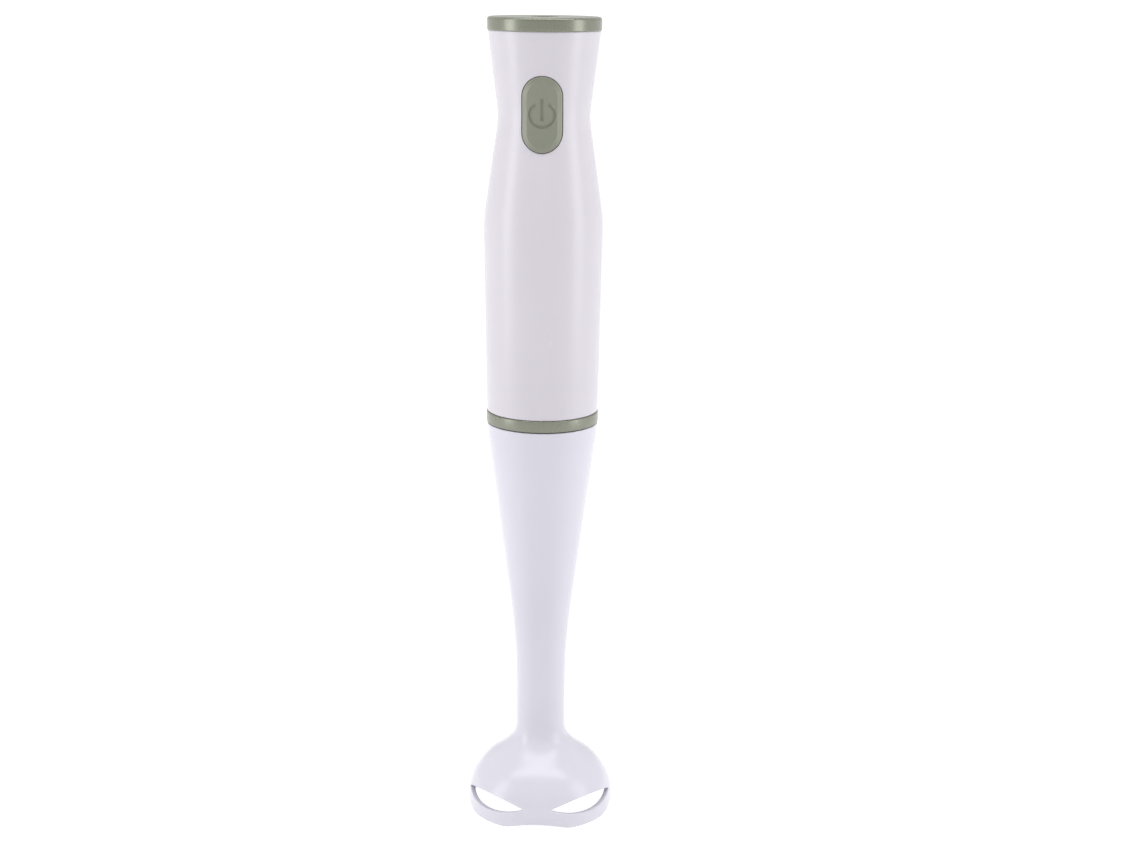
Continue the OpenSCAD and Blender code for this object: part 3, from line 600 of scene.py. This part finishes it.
def leg_piece():
    """The bell and the leg in columns. Those at a slot stop at its edges, so that it has a clean rim."""
    t = np.sin(np.linspace(-math.pi / 2, math.pi / 2, 45))
    pillar = np.linspace(0, 1, 15)[1:-1]
    up = SLOT_TIP + TIP_GAP + arc_height(SLOT_HALF * t, SLOT_HALF, SLOT_UP) * (1 - TIP_GAP / SLOT_UP)
    down = SLOT_TIP - TIP_GAP - arc_height(SLOT_HALF * t, SLOT_HALF, SLOT_DOWN) * (1 - TIP_GAP / SLOT_DOWN)

    def columns(radius):
        """Azimuths of a wall's columns from -Y, the heights of the slots' edges, and which are open."""
        az, hi, lo, open_ = [], [], [], []
        tip = math.asin(SLOT_HALF / radius(SLOT_TIP))
        for q in range(4):
            mid = math.radians(45 + 90 * q)
            az += list(mid + np.arcsin(np.clip(SLOT_HALF * t / radius(up), -1, 1)))
            hi += list(up)
            lo += list(down)
            open_ += [True] * (len(t) - 1) + [False]
            gap = math.pi / 2 - 2 * tip
            az += list(mid + tip + gap * pillar)
            hi += [up[-1]] * len(pillar)
            lo += [down[-1]] * len(pillar)
            open_ += [False] * len(pillar)
        return np.array(az), np.array(hi), np.array(lo), open_

    def rim(az, radius):
        """Height of the rim, with an arch on each of the four sides."""
        near = (az + math.pi / 4) % (math.pi / 2) - math.pi / 4
        return above_zero(arc_height(np.clip(radius * np.sin(near), -30, 30), ARCH_HALF, ARCH_H))

    def place(r, az, z):
        return np.stack([r * np.sin(az), -r * np.cos(az), z + 0 * az], 1)

    verts, faces = [], []

    def add_row(row):
        verts.append(row)
        return (len(verts) - 1) * len(row)

    def join(a, b, n, flip, skip=None):
        for j in range(n):
            if skip is not None and skip[j]:
                continue
            k = (j + 1) % n
            quad = (a + j, a + k, b + k, b + j)
            faces.append(quad[::-1] if flip else quad)

    sides = []
    for radius, flip in ((outer_bell_r, False), (inner_bell_r, True)):
        az, hi, lo, open_ = columns(radius)
        n = len(az)
        edge = rim(az, radius(0.0))
        rows = []
        for f in (0, 0.05, 0.14, 0.3, 0.5, 0.7, 0.86, 0.95, 1):
            z = edge + (lo - edge) * f
            rows.append(add_row(place(radius(z), az, z)))
        for a, b in zip(rows, rows[1:]):
            join(a, b, n, flip)
        top_rows = []
        for f in (0, 0.03, 0.08, 0.16, 0.28, 0.42, 0.58, 0.76, 1):
            z = hi + (SHOULDER - hi) * f
            top_rows.append(add_row(place(radius(z), az, z)))
        join(rows[-1], top_rows[0], n, flip, open_)
        for a, b in zip(top_rows, top_rows[1:]):
            join(a, b, n, flip)
        sides.append(Side(rows[0], rows[-1], top_rows[0], top_rows[-1], az, n, open_))
    o, i = sides
    n = o.n
    join(o.rim, i.rim, n, True)
    for j in range(n):
        k = (j + 1) % n
        before, after = o.open_[j - 1], o.open_[j]
        if after:
            faces.append((o.low + j, o.low + k, i.low + k, i.low + j))
            faces.append((o.high + k, o.high + j, i.high + j, i.high + k))
        if after and not before:
            faces.append((o.low + j, i.low + j, i.high + j, o.high + j))
        if before and not after:
            faces.append((o.high + j, i.high + j, i.low + j, o.low + j))

    def go_on(start, az, stations, flip):
        """Carries a wall on through more (r, z) stations."""
        for r, z in stations:
            row = add_row(place(r, az, z))
            join(start, row, n, flip)
            start = row

    heights = np.concatenate([np.arange(SHOULDER + 0.6, 45, 0.6), np.arange(45, 100, 1.5),
                              np.arange(100, 192, 2.2), [LEG_TOP - 1]])
    tube = [(lower_r(z), z) for z in heights]
    tube += fillet(lower_r(LEG_TOP) - 0.4, LEG_TOP - 0.4, 0.4, 0, 90, 5)
    tube += [(SOCKET_R, LEG_TOP), (SOCKET_R, SOCKET_Z)]
    go_on(o.top, o.az, tube, False)

    roof_from = ROOF_R + 1.2
    roof = inner_bell_z(roof_from)
    inside = [(r, inner_bell_z(r)) for r in np.linspace(inner_bell_r(SHOULDER), roof_from, 18)[1:]]
    inside += [(ROOF_R + 0.5, roof - 0.1), (ROOF_R + 0.1, roof - 0.5), (ROOF_R, roof - 1.2), (ROOF_R, 22.0)]
    inside += fillet(ROOF_R - 0.6, 21.2, 0.6, 0, -90, 5) + [(SEAL_R, SEAL_LOW), (SEAL_R, SEAL_TOP)]
    go_on(i.top, i.az, inside, True)
    return np.concatenate(verts), faces, sides


leg_verts, leg_faces, leg_sides = leg_piece()
leg = add_mesh("leg_and_bell", leg_verts, leg_faces, leg_white, "leg", "leg_white",
               ["leg_shell", "bell_guard"], 38)


def ease_edges(obj, sides, width, segments):
    """Rounds the moulded edges of the slots and the rim."""
    mesh = obj.data
    weights = mesh.attributes.new("bevel_weight_edge", "FLOAT", "EDGE")
    want = set()
    for w in sides:
        for j in range(w.n):
            k = (j + 1) % w.n
            want.add(frozenset((w.rim + j, w.rim + k)))
            if w.open_[j]:
                want.add(frozenset((w.low + j, w.low + k)))
                want.add(frozenset((w.high + j, w.high + k)))
            if w.open_[j] != w.open_[j - 1]:
                want.add(frozenset((w.low + j, w.high + j)))
    for e in mesh.edges:
        if frozenset(e.vertices) in want:
            weights.data[e.index].value = 1.0
    mod = obj.modifiers.new("ease", "BEVEL")
    mod.limit_method, mod.width, mod.segments, mod.use_clamp_overlap = "WEIGHT", width * MM, segments, True
    mod.profile = 0.5
    mod.harden_normals = False
    dg = bpy.context.evaluated_depsgraph_get()
    obj.data = bpy.data.meshes.new_from_object(obj.evaluated_get(dg))
    obj.modifiers.clear()
    shade(obj.data, 42)


ease_edges(leg, leg_sides, 0.3, 3)


# ---------------------------------------------------------------- blade
BLADE_Z, BLADE_T, BLADE_R, BEND_X = 10.2, 1.3, 21.5, 8.0
HUB_R, BLADE_BORE, EDGE_T, TILT = 6.2, 3.0, 0.2, 16


def blade_wing(tilt, side):
    """One wing, bent at BEND_X and ground from below to an edge along its leading side."""
    back = [(4, -3.57), (BEND_X, -3.47), (BLADE_R - 3.6, -3.2), (BLADE_R - 0.6, -1.2)]
    keen = [(BLADE_R - 1.4, 2.2), (14, 4.4), (BEND_X, 3.96), (4, 3.67)]
    ground = [(BLADE_R - 2.1, 0.6), (13.4, 2.6), (BEND_X, 2.9), (4, 3.67)]
    slope = math.tan(math.radians(tilt))
    rings = ((back + keen, BLADE_T), (back + keen, BLADE_T - EDGE_T), (back + ground, 0))
    verts = [(side * x, side * y, BLADE_Z + up + slope * max(0, x - BEND_X))
             for ring, up in rings for x, y in ring]
    n = len(back + keen)
    flat, bent = (0, 1, 6, 7), (1, 2, 3, 4, 5, 6)
    faces = [flat, bent] + [tuple(2 * n + j for j in f) for f in (flat, bent)]
    faces += grid_faces(3, n, True)
    return verts, faces


def blade_piece():
    top = BLADE_Z + BLADE_T
    hub = revolve([(BLADE_BORE, BLADE_Z), (HUB_R, BLADE_Z), (HUB_R, top), (BLADE_BORE, top)], 96)
    blade = add_mesh("ground_blade", *hub, stainless, "blade_drive", "stainless", ["blade"], 20)
    combine(blade, *blade_wing(TILT, 1), "UNION")
    combine(blade, *blade_wing(-TILT / 2, -1), "UNION")
    shade(blade.data, 20)


blade_piece()


# ---------------------------------------------------------------- camera
CAM_D, CAM_H = 0.855, 0.4030
AZ, YAW, PITCH, ROLL = (math.radians(v) for v in (2.5, 0.876, 13.96, 0.55))
cam = bpy.data.objects.new("camera", bpy.data.cameras.new("camera"))
scene.collection.objects.link(cam)
cam.matrix_world = (Matrix.Translation((CAM_D * math.sin(AZ), -CAM_D * math.cos(AZ), CAM_H))
                    @ Matrix.Rotation(AZ - YAW, 4, "Z") @ Matrix.Rotation(math.pi / 2 - PITCH, 4, "X")
                    @ Matrix.Rotation(ROLL, 4, "Z"))
cam.data.sensor_width = 36
cam.data.lens = 58.93
cam.data.clip_start, cam.data.clip_end = 0.01, 200
scene.camera = cam

# ---------------------------------------------------------------- floor and light
FLOOR = 60.0
floor_mesh = bpy.data.meshes.new("floor")
floor_mesh.from_pydata([(-FLOOR, -FLOOR, 0), (FLOOR, -FLOOR, 0), (FLOOR, FLOOR, 0), (-FLOOR, FLOOR, 0)],
                       [], [(0, 1, 2, 3)])
floor = bpy.data.objects.new("floor", floor_mesh)
scene.collection.objects.link(floor)
paper, _, paper_bsdf, _ = new_material("floor_paper")
paper_bsdf.inputs["Base Color"].default_value = (0.5, 0.5, 0.5, 1)
paper_bsdf.inputs["Roughness"].default_value = 0.9
paper_bsdf.inputs["Specular IOR Level"].default_value = 0.1
paper_bsdf.inputs["Emission Color"].default_value = (1, 1, 1, 1)
paper_bsdf.inputs["Emission Strength"].default_value = 0.82
floor_mesh.materials.append(paper)


def softbox(name, azimuth, elevation, distance, width, height, power, shape="RECTANGLE"):
    """A soft light aimed at the object's middle, its azimuth counted from the front (-Y) towards +X."""
    light = bpy.data.lights.new(name, "AREA")
    light.shape, light.size, light.size_y, light.energy = shape, width, height, power
    obj = bpy.data.objects.new(name, light)
    scene.collection.objects.link(obj)
    a, e = math.radians(azimuth), math.radians(elevation)
    target = Vector((0, 0, 0.2))
    out = Vector((math.sin(a) * math.cos(e), -math.cos(a) * math.cos(e), math.sin(e)))
    obj.location = target + distance * out
    obj.rotation_mode = "QUATERNION"
    obj.rotation_quaternion = (obj.location - target).to_track_quat("Z", "Y")


# The side boxes draw the two long highlights, and the wide top box the oval one on the bell.
softbox("left_box", -70, 8, 1.2, 0.45, 1.1, 6.6)
softbox("right_box", 74, 8, 1.2, 0.45, 1.1, 6)
softbox("top_box", 0, 77, 1.3, 2.4, 0.45, 16, "ELLIPSE")

# The sky is dimmer in front of the object than behind it, which shades the front's middle.
world = bpy.data.worlds.new("studio")
world.use_nodes = True
scene.world = world
wt = world.node_tree
direction = wt.nodes.new("ShaderNodeTexCoord").outputs["Generated"]
split = wt.nodes.new("ShaderNodeSeparateXYZ")
wt.links.new(direction, split.inputs["Vector"])
ramp = wt.nodes.new("ShaderNodeMapRange")
ramp.interpolation_type = "SMOOTHSTEP"
ramp.inputs["From Min"].default_value, ramp.inputs["From Max"].default_value = -1.0, 0.6
ramp.inputs["To Min"].default_value, ramp.inputs["To Max"].default_value = 0.33, 0.8
wt.links.new(split.outputs["Y"], ramp.inputs["Value"])
wt.links.new(ramp.outputs["Result"], wt.nodes["Background"].inputs["Strength"])
wt.nodes["Background"].inputs["Color"].default_value = (1, 1, 1, 1)
scene.view_settings.view_transform = "Standard"
